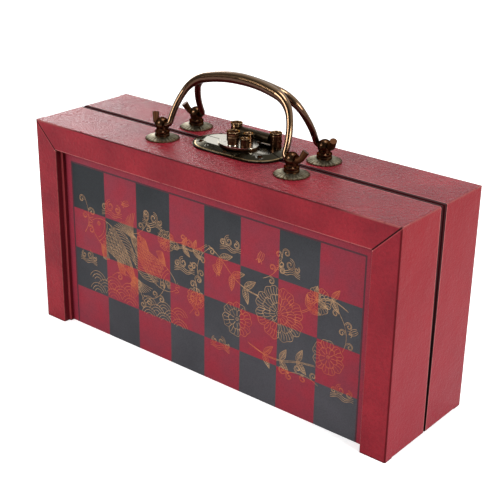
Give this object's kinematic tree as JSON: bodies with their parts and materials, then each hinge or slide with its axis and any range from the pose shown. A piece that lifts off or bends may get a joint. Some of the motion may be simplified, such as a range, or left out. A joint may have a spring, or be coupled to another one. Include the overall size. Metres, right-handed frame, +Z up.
{
  "type": "folding chess set case",
  "caption": "Folding chess set: two hinged trays with a framed board on each outer face, fitted inserts with turned men, a pair of carrying bails and a hasp with a locking peg",
  "frame": {"origin": "Middle of the underside of the closed case, on the surface that it stands on, in the plane of the seam", "axes": "+X along the handle and the seam, +Y from the front tray to the rear tray, +Z up through the handle"},
  "size_m": [0.32, 0.095, 0.2155],
  "materials": {
    "leatherette": "grained leatherette over wood",
    "hinge_leather": "matt leather",
    "board": "printed and lacquered",
    "insert": "flocked",
    "bronze": "antique bronze",
    "steel": "satin",
    "dark_wood": "satin lacquer",
    "red_wood": "satin lacquer"
  },
  "bodies": {
    "rear_tray": {"rear_top_wall": "leatherette", "rear_side_wall_left": "leatherette", "rear_side_wall_right": "leatherette", "rear_hinge_wall": "leatherette", "rear_hinge_strip": "hinge_leather", "rear_frame_rail": "leatherette", "rear_frame_stile_left": "leatherette", "rear_frame_stile_right": "leatherette", "rear_board_panel": "board", "rear_piece_insert": "insert", "rear_handle_posts": "bronze", "rear_handle_nuts": "steel", "rear_handle_rosettes": "bronze", "rear_lock_plate": "bronze", "rear_lock_nails": "bronze", "hasp_posts": "bronze", "hasp_hinge_pin": "bronze", "dark_king": "dark_wood", "dark_queen": "dark_wood", "dark_bishops": "dark_wood", "dark_knights": "dark_wood", "dark_rooks": "dark_wood", "dark_pawns": "dark_wood"},
    "front_tray": {"front_top_wall": "leatherette", "front_side_wall_left": "leatherette", "front_side_wall_right": "leatherette", "front_hinge_wall": "leatherette", "front_hinge_strip": "hinge_leather", "front_frame_rail": "leatherette", "front_frame_stile_left": "leatherette", "front_frame_stile_right": "leatherette", "front_board_panel": "board", "front_piece_insert": "insert", "front_handle_posts": "bronze", "front_handle_nuts": "steel", "front_handle_rosettes": "bronze", "front_lock_plate": "bronze", "front_lock_nails": "bronze", "red_king": "red_wood", "red_queen": "red_wood", "red_bishops": "red_wood", "red_knights": "red_wood", "red_rooks": "red_wood", "red_pawns": "red_wood"},
    "rear_bail": {"rear_bail": "bronze"},
    "front_bail": {"front_bail": "bronze"},
    "hasp": {"hasp_plate": "bronze", "hasp_studs": "bronze"},
    "locking_peg": {"locking_peg": "bronze"}
  },
  "joints": [
    {"name": "tray_hinge", "type": "hinge", "parent": "rear_tray", "child": "front_tray", "pos_m": [0, 0, 0], "axis": [1, 0, 0], "range_deg": [0, 180]},
    {"name": "rear_bail_swing", "type": "hinge", "parent": "rear_tray", "child": "rear_bail", "pos_m": [0, 0.018, 0.1725], "axis": [-1, 0, 0], "range_deg": [0, 125]},
    {"name": "front_bail_swing", "type": "hinge", "parent": "front_tray", "child": "front_bail", "pos_m": [0, -0.018, 0.1725], "axis": [1, 0, 0], "range_deg": [0, 125]},
    {"name": "hasp_lift", "type": "hinge", "parent": "rear_tray", "child": "hasp", "pos_m": [0, 0.014, 0.1692], "axis": [-1, 0, 0], "range_deg": [0, 150]},
    {"name": "peg_press", "type": "slide", "parent": "hasp", "child": "locking_peg", "axis": [0, 0, -1], "range_m": [0, 0.003]}
  ]
}
